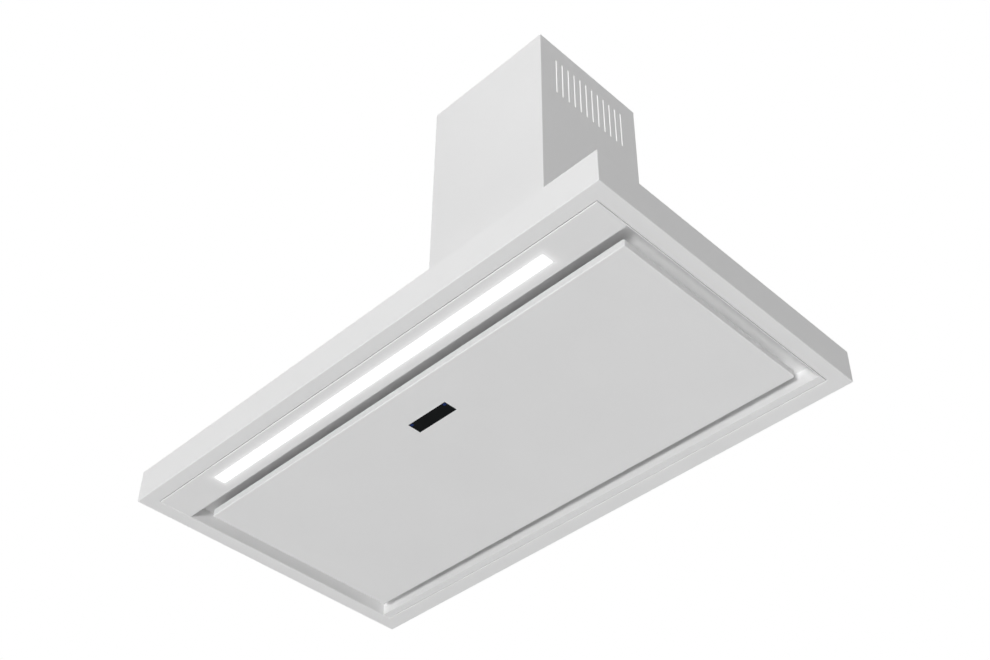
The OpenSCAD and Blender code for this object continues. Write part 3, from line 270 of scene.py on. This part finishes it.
def galvanised(name):
    """Zinc spangle: patches of slightly different grey and gloss."""
    zinc = Finish(name, (0.6, 0.61, 0.62), roughness=0.42, metallic=0.85)
    patch = zinc.cells(scale=150.0).outputs["Color"]
    tone = zinc.node("ShaderNodeRGBToBW", {"Color": patch}).outputs["Val"]
    zinc.colours(tone, low=(0.55, 0.56, 0.58), high=(0.65, 0.66, 0.67))
    zinc.roughness(tone, low=0.38, high=0.48)
    return zinc.bump(zinc.noise(scale=900.0), strength=0.08, distance=0.05 * MM)


def drawn_metal(name, colour, roughness, along, metallic=0.95):
    """Rolled or drawn metal, with fine lines along one axis."""
    metal = Finish(name, colour, roughness, metallic)
    stretch = [LINES_ALONG if letter == along else LINES_ACROSS for letter in "XYZ"]
    lines = metal.noise(scale=1.0, detail=4.0, stretch=stretch)
    metal.shades(lines, darkest=0.88, lightest=1.08)
    metal.roughness(lines, low=roughness - 0.07, high=roughness + 0.1)
    return metal.bump(lines, strength=0.12, distance=0.05 * MM)


def cast_metal(name, colour, roughness, grain=500.0, metallic=0.9):
    """Turned, cast or plated metal with a fine grain."""
    metal = Finish(name, colour, roughness, metallic)
    metal.shades(metal.noise(scale=60.0, detail=4.0), darkest=0.85, lightest=1.1)
    metal.roughness(metal.noise(scale=180.0), low=roughness - 0.08, high=roughness + 0.1)
    return metal.bump(metal.noise(scale=grain, detail=3.0), strength=0.1, distance=0.1 * MM)


def moulded(name, colour, roughness, grain=800.0):
    """Moulded plastic or rubber with an eroded texture."""
    plastic = Finish(name, colour, roughness)
    plastic.shades(plastic.noise(scale=40.0, detail=3.0), darkest=0.9, lightest=1.12)
    plastic.roughness(plastic.noise(scale=300.0), low=roughness - 0.06, high=roughness + 0.08)
    return plastic.bump(plastic.noise(scale=grain), strength=0.2, distance=0.1 * MM)


def distance_outside(finish, low, high):
    """Distance in the sheet's plane from the rectangle low..high, zero inside it."""
    squares = []
    for letter, a, b in zip("XY", low, high):
        offset = finish.maths("SUBTRACT", finish.axis(letter), (a + b) / 2)
        beyond = finish.maths("SUBTRACT", finish.maths("ABSOLUTE", offset), (b - a) / 2)
        squares.append(finish.maths("POWER", finish.maths("MAXIMUM", beyond, 0.0), 2.0))
    return finish.maths("SQRT", finish.maths("ADD", *squares))


def painted_spill_paint(name, colour):
    """Powder coat with a painted light spill: the paint itself glows softly beside the strip
    light's window and fades with distance from it.
    """
    paint = powder_coat(name, colour)
    away = distance_outside(paint, window_low, window_high)
    # Painted glow: emission on the paint that falls off with distance from the window
    painted_falloff = paint.maths("EXPONENT", paint.maths("MULTIPLY", away, -1.0 / PAINTED_SPILL_REACH))
    return paint.glow(WHITE_LIGHT, paint.maths("MULTIPLY", painted_falloff, PAINTED_SPILL_GLOW))


def opal(name):
    """Lit opal strip: brightest in the middle, softer towards its edges."""
    strip = Finish(name, (0.9, 0.9, 0.9), roughness=0.3)
    core_low = [edge + OPAL_EDGE for edge in window_low]
    core_high = [edge - OPAL_EDGE for edge in window_high]
    away = distance_outside(strip, core_low, core_high)
    light = strip.span(
        away,
        low=OPAL_MIDDLE_GLOW,
        high=OPAL_EDGE_GLOW,
        start=0.0,
        end=OPAL_EDGE,
        shape="SMOOTHSTEP",
    )
    strip.glow(WHITE_LIGHT, light)
    return strip.bump(strip.noise(scale=500.0), strength=0.05, distance=0.05 * MM)


def circuit(name):
    """Green board with lighter tracks under its varnish."""
    board = Finish(name, (0.02, 0.16, 0.06), roughness=0.35)
    tracks = board.cells(scale=160.0, feature="DISTANCE_TO_EDGE").outputs["Distance"]
    board.colours(tracks, low=(0.08, 0.32, 0.12), high=(0.015, 0.13, 0.05), start=0.03, end=0.09)
    board.roughness(board.noise(scale=200.0), low=0.28, high=0.42)
    return board.bump(tracks, strength=0.15, distance=0.05 * MM)


def winding(name):
    """Stator: copper turns with painted shade, darker in the grooves between turns and lighter on
    their crowns, following the same bands as the bump.
    """
    copper = Finish(name, (0.6, 0.27, 0.12), roughness=0.38, metallic=0.8)
    turns = copper.waves(scale=180.0, direction="X", distortion=1.5)
    # Painted shade: the colour follows the bump's bands, dark in the grooves between turns and
    # light on the crowns
    copper.colours(turns, low=(0.32, 0.12, 0.05), high=(0.72, 0.36, 0.18), start=0.2, end=0.8)
    copper.roughness(copper.noise(scale=120.0), low=0.3, high=0.5)
    return copper.bump(turns, strength=0.5, distance=0.3 * MM)


def black_glass(name):
    """Gloss black cover glass with a trace of finger haze."""
    glass = Finish(name, (0.006, 0.007, 0.008), roughness=0.06, specular=0.02)
    haze = glass.noise(scale=30.0, detail=3.0)
    glass.colours(haze, low=(0.005, 0.006, 0.007), high=(0.008, 0.009, 0.01))
    return glass.roughness(haze, low=0.05, high=0.12)


def blue_mark(name):
    """Light pipe under the glass, dimly lit blue."""
    mark = Finish(name, (0.005, 0.014, 0.06), roughness=0.15, specular=0.02)
    mark.colours(mark.noise(scale=400.0), low=(0.004, 0.012, 0.05), high=(0.006, 0.016, 0.07))
    return mark.glow(MARK_LIGHT, MARK_GLOW)


finishes = {
    "white_paint": powder_coat("white_paint", WHITE_PAINT),
    # The tray paint carries a painted glow of light spill beside the strip light
    "tray_paint": painted_spill_paint("tray_paint", WHITE_PAINT),
    "panel_paint": powder_coat("panel_paint", WHITE_PAINT),
    "galvanised": galvanised("galvanised"),
    "aluminium": drawn_metal("aluminium", (0.72, 0.73, 0.74), 0.32, along="X"),
    "filter_mesh": drawn_metal("filter_mesh", (0.66, 0.67, 0.68), 0.3, along="Y"),
    "opal": opal("opal"),
    "light_board": moulded("light_board", (0.75, 0.75, 0.72), 0.4),
    "circuit": circuit("circuit"),
    "black_plastic": moulded("black_plastic", (0.03, 0.03, 0.032), 0.45),
    "grey_plastic": moulded("grey_plastic", (0.25, 0.26, 0.27), 0.5),
    "black_glass": black_glass("black_glass"),
    "blue_mark": blue_mark("blue_mark"),
    "steel": cast_metal("steel", (0.62, 0.62, 0.6), 0.3),
    "motor_can": cast_metal("motor_can", (0.5, 0.51, 0.52), 0.42, grain=900.0),
    "magnet": cast_metal("magnet", (0.06, 0.06, 0.065), 0.5, grain=600.0, metallic=0.4),
    "winding": winding("winding"),
    "capacitor": moulded("capacitor", (0.62, 0.6, 0.5), 0.4),
    "rubber": moulded("rubber", (0.02, 0.02, 0.02), 0.75, grain=500.0),
}

for row in frame["record"]["subparts"]:
    mesh = nodes[row["node"]].data
    mesh.materials.clear()
    mesh.materials.append(finishes[row["material_slot"]].material)


# Fine pieces that stand for plain CAD solids


def new_mesh(name, verts, faces):
    mesh = bpy.data.meshes.new(name)
    mesh.from_pydata(verts, [], faces)
    return mesh


def new_object(name, data):
    made = bpy.data.objects.new(name, data)
    bpy.context.scene.collection.objects.link(made)
    return made


def add_piece(name, mesh, slot, body, *stands_for):
    """A piece of the scene that takes the place of CAD nodes and moves with their body."""
    piece = new_object(name, mesh)
    mesh.materials.append(finishes[slot].material)
    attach(piece, body)
    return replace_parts(piece, *stands_for)


def swept(points, sections, verts, faces):
    """Adds a closed tube to verts and faces: one ring of section offsets round each point."""
    start = len(verts)
    sides = len(sections[0])
    for point, section in zip(points, sections):
        verts.extend(point + offset for offset in section)
    for ring in range(len(points) - 1):
        for side in range(sides):
            a = start + ring * sides + side
            b = start + ring * sides + (side + 1) % sides
            faces.append((a, b, b + sides, a + sides))
    last = len(verts) - sides
    faces.append(tuple(range(start + sides - 1, start - 1, -1)))
    faces.append(tuple(range(last, last + sides)))


def angles(count):
    """The angles of so many equal steps round a circle."""
    return [2 * math.pi * step / count for step in range(count)]


def strand_section(tilt):
    """Corners of a strand's section, turned about its length."""
    half_w, half_t = NET_STRAND / 2, NET_SHEET / 2
    corners = [(-half_w, -half_t), (half_w, -half_t), (half_w, half_t), (-half_w, half_t)]
    turn = Matrix.Rotation(tilt, 3, "X")
    return [turn @ Vector((0, y, z)) for y, z in corners]


def expanded_net(side):
    """Layers of crimped expanded metal in the filter's frame, clear of the latch case."""
    low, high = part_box("filter_mesh_" + side)
    case_low, case_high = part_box("latch_case_" + side)
    margin = NET_SHORT / 4 + NET_STRAND / 2
    rows = int((high.y - low.y - 2 * margin) / (NET_SHORT / 2)) + 1
    columns = int((high.x - low.x) / (NET_LONG / 2)) + 1
    pitch = (high.z - low.z) / NET_LAYERS

    def bend(column, row, layer):
        """A bend of a strand, to one side of its row and then to the other."""
        x = min(low.x + column * NET_LONG / 2, high.x)
        y = low.y + margin + row * NET_SHORT / 2
        y += NET_SHORT / 4 * (-1) ** (row + column + layer)
        along = x + y if layer % 2 else x - y
        crimp = NET_CRIMP * math.sin(2 * math.pi * along / NET_CRIMP_PITCH)
        return Vector((x, y, low.z + pitch * (layer + 0.5) + crimp))

    def is_clear(point):
        """True where a strand doesn't touch the latch case."""
        beside = point.x < case_low.x - NET_STRAND or point.x > case_high.x + NET_STRAND
        return beside or point.y > case_high.y + NET_STRAND

    verts, faces = [], []
    for layer in range(NET_LAYERS):
        section = strand_section(NET_TILT if layer % 2 else -NET_TILT)
        for row in range(rows):
            bends = [bend(column, row, layer) for column in range(columns + 1)]
            for clear, group in itertools.groupby(bends, is_clear):
                run = list(group)
                if clear and len(run) > 1:
                    swept(run, [section] * len(run), verts, faces)
    mesh = new_mesh("filter_net_" + side, verts, faces)
    add_piece("filter_net_" + side, mesh, "filter_mesh", "hood", "filter_mesh_" + side)


def coil_rise(turn, length):
    """How far along its length a spring is after some turns."""
    if turn < 1:
        return SPRING_END_PITCH * turn
    if turn > SPRING_TURNS - 1:
        return length - SPRING_END_PITCH * (SPRING_TURNS - turn)
    open_length = length - 2 * SPRING_END_PITCH
    return SPRING_END_PITCH + open_length * (turn - 1) / (SPRING_TURNS - 2)


def wire_section(out):
    """Round section of the spring's wire, in the plane of its axis and the direction out."""
    return [
        (out * math.cos(angle) + Vector((0, math.sin(angle), 0))) * SPRING_WIRE_R
        for angle in angles(SPRING_SIDES)
    ]


def latch_coil(side):
    """Wound spring behind the latch bolt, pressed flat towards the bolt's stop."""
    node = "latch_spring_" + side
    low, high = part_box(node)
    middle = (low + high) / 2
    radius = (high.x - low.x) / 2 - SPRING_WIRE_R
    length = high.y - low.y - 2 * SPRING_WIRE_R
    points, sections = [], []
    for step in range(SPRING_TURNS * SPRING_STEPS + 1):
        turn = step / SPRING_STEPS
        angle = 2 * math.pi * turn
        out = Vector((math.cos(angle), 0, math.sin(angle)))
        y = low.y + SPRING_WIRE_R + coil_rise(turn, length)
        points.append(Vector((middle.x, y, middle.z)) + out * radius)
        sections.append(wire_section(out))
    verts, faces = [], []
    swept(points, sections, verts, faces)
    mesh = new_mesh("latch_coil_" + side, verts, faces)
    mesh.shade_smooth()
    coil = add_piece("latch_coil_" + side, mesh, "steel", "hood", node)
    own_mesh(coil)


def screw_profile(head_r, head_h, shank_r, length):
    """Radius and height from the tip to the flat top: the seat is at 0, the top at -head_h."""
    tip = SCREW_TIP * shank_r
    bevel = SCREW_BEVEL * head_r
    profile = [(shank_r - tip, length), (shank_r, length - tip), (shank_r, 0)]
    profile += [(head_r - bevel, 0), (head_r, -bevel)]
    for step in range(SCREW_DOME_STEPS + 1):
        share = step / SCREW_DOME_STEPS
        radius = head_r * (1 - (1 - SCREW_FLAT) * share ** SCREW_DOME_POWER)
        height = head_h * (SCREW_RIM + (1 - SCREW_RIM) * math.sin(share * math.pi / 2))
        profile.append((radius, -height))
    return profile


def cross_outline(arm, half_width, z):
    """Corners of a cross with four equal arms."""
    corners = []
    for angle in angles(4):
        turn = Matrix.Rotation(angle, 3, "Z")
        for x, y in [(arm, -half_width), (arm, half_width), (half_width, half_width)]:
            corners.append(turn @ Vector((x, y, z)))
    return corners


def neighbours(loop):
    """Each item of a closed loop, with the one after it."""
    return zip(loop, loop[1:] + loop[:1])


def add_band(bm, loop, after):
    """Faces between two closed loops of as many vertices."""
    for (a, b), (c, d) in zip(neighbours(loop), neighbours(after)):
        bm.faces.new((a, c, d, b))


def recessed_screw(bm, place, turn, head_r, head_h, shank_r, length):
    """Pan head screw with a cross recess; its shank points along +Z before the turn."""
    def at(x, y, z):
        return bm.verts.new(place + turn @ Vector((x, y, z)))

    def cross(arm, half_width, height):
        outline = cross_outline(arm * head_r, half_width * head_r, -height * head_h)
        return [at(*corner) for corner in outline]

    rings = []
    for r, z in screw_profile(head_r, head_h, shank_r, length):
        rings.append([at(r * math.cos(a), r * math.sin(a), z) for a in angles(SCREW_SIDES)])
    top = cross(*CROSS_TOP)
    floor = cross(*CROSS_FLOOR)
    bm.faces.new(rings[0])
    for ring, after in zip(rings, rings[1:]):
        add_band(bm, ring, after)
    rim = [bm.edges.get(pair) for pair in neighbours(rings[-1])]
    rim += [bm.edges.new(pair) for pair in neighbours(top)]
    bmesh.ops.triangle_fill(bm, edges=rim, use_beauty=True)
    add_band(bm, floor, top)
    bm.faces.new(floor)


def solids_in(name):
    """Lowest and highest corner of each separate solid in a CAD node."""
    bm = bmesh.new()
    bm.from_mesh(nodes[name].data)
    bmesh.ops.remove_doubles(bm, verts=bm.verts, dist=WELD)
    left, found = set(bm.verts), []
    while left:
        group, stack = [], [left.pop()]
        while stack:
            vert = stack.pop()
            group.append(vert.co.copy())
            near = {edge.other_vert(vert) for edge in vert.link_edges} & left
            left -= near
            stack += near
        low = Vector(min(co[k] for co in group) for k in range(3))
        high = Vector(max(co[k] for co in group) for k in range(3))
        found.append((low, high))
    bm.free()
    return sorted(found, key=lambda box: tuple(box[0]))


def recessed_screws(node, head_h, shank_r, downwards=False):
    """All the screws of a node, with their recesses turned at random."""
    chance = random.Random(node)
    bm = bmesh.new()
    for low, high in solids_in(node):
        middle = (low + high) / 2
        turn = Matrix.Rotation(chance.uniform(0, math.pi), 3, "Z")
        seat = Vector((middle.x, middle.y, low.z + head_h))
        if downwards:
            turn = Matrix.Rotation(math.pi, 3, "X") @ turn
            seat.z = high.z - head_h
        head_r = (high.x - low.x) / 2
        length = high.z - low.z - head_h
        recessed_screw(bm, seat, turn, head_r, head_h, shank_r, length)
    bmesh.ops.recalc_face_normals(bm, faces=bm.faces)
    mesh = bpy.data.meshes.new(node + "_recessed")
    bm.to_mesh(mesh)
    bm.free()
    mesh.shade_smooth()
    screws = add_piece(node + "_recessed", mesh, "steel", "hood", node)
    split = screws.modifiers.new("edges", "EDGE_SPLIT")
    split.split_angle = SHARP_EDGE


for side in ("left", "right"):
    expanded_net(side)
    latch_coil(side)
recessed_screws("tray_screws", head_h=2.4 * MM, shank_r=2.0 * MM)
recessed_screws("hinge_screws", head_h=1.8 * MM, shank_r=1.5 * MM)
recessed_screws("collar_screws", head_h=2.4 * MM, shank_r=2.0 * MM, downwards=True)


# Camera


def place_camera():
    """The camera, from its place and its angles."""
    azimuth, elevation, roll = map(math.radians, (CAMERA_AZIMUTH, CAMERA_ELEVATION, CAMERA_ROLL))
    back = Vector((
        math.sin(azimuth) * math.cos(elevation),
        -math.cos(azimuth) * math.cos(elevation),
        math.sin(elevation),
    ))
    level = Vector((math.cos(azimuth), math.sin(azimuth), 0))
    upright = back.cross(level)
    right = level * math.cos(roll) + upright * math.sin(roll)
    up = back.cross(right)
    data = bpy.data.cameras.new("camera")
    data.sensor_width = SENSOR
    data.lens = FOCAL_PIXELS * SENSOR / IMAGE_WIDTH
    camera = new_object("camera", data)
    axes = Matrix((right, up, back)).transposed().to_4x4()
    camera.matrix_world = Matrix.Translation(CAMERA_PLACE) @ axes
    bpy.context.scene.camera = camera


place_camera()


# Studio


def seen_share(tree):
    """1 on the rays that show a thing: from the camera, in gloss and through glass."""
    rays = tree.nodes.new("ShaderNodeLightPath").outputs
    seen = rays["Is Camera Ray"]
    for kind in ("Is Glossy Ray", "Is Transmission Ray"):
        either = add_node(tree, "ShaderNodeMath", {0: seen, 1: rays[kind]}, operation="MAXIMUM")
        seen = either.outputs["Value"]
    return seen


def make_floor():
    """Pale floor that is seen as white."""
    corners = [(-1, -1), (1, -1), (1, 1), (-1, 1)]
    verts = [(x * FLOOR_HALF, y * FLOOR_HALF, FLOOR_Z) for x, y in corners]
    mesh = new_mesh("floor", verts, [(0, 1, 2, 3)])
    floor = new_object("floor", mesh)
    pale = Finish("floor", (0.86, 0.86, 0.86), roughness=0.9)
    pale.colours(pale.noise(scale=3.0), low=(0.85, 0.85, 0.85), high=(0.87, 0.87, 0.87))
    pale.glow(WHITE_LIGHT, pale.maths("MULTIPLY", seen_share(pale.tree), FLOOR_GLOW))
    mesh.materials.append(pale.material)


def make_world():
    """White to the camera, in gloss and through glass; an even pale grey as a light."""
    world = bpy.data.worlds.new("studio")
    bpy.context.scene.world = world
    world.use_nodes = True
    tree = world.node_tree
    background = tree.nodes["Background"]
    inputs = {"Value": seen_share(tree), "To Min": AMBIENT, "To Max": 1.0}
    strength = add_node(tree, "ShaderNodeMapRange", inputs).outputs["Result"]
    plug(tree, background.inputs["Color"], (*WHITE_LIGHT, 1))
    plug(tree, background.inputs["Strength"], strength)


def soft_lamp(name, place, target, size, watts):
    """Rectangular lamp that points at its target and isn't seen itself."""
    data = bpy.data.lights.new(name, "AREA")
    data.shape = "RECTANGLE"
    data.size, data.size_y = size
    data.energy = watts
    lamp = new_object(name, data)
    lamp.location = place
    lamp.rotation_euler = (Vector(target) - Vector(place)).to_track_quat("-Z", "Y").to_euler()
    lamp.visible_camera = False


bpy.context.scene.view_settings.view_transform = "Standard"
make_floor()
make_world()
for name, lamp in LAMPS.items():
    soft_lamp(name, *lamp)
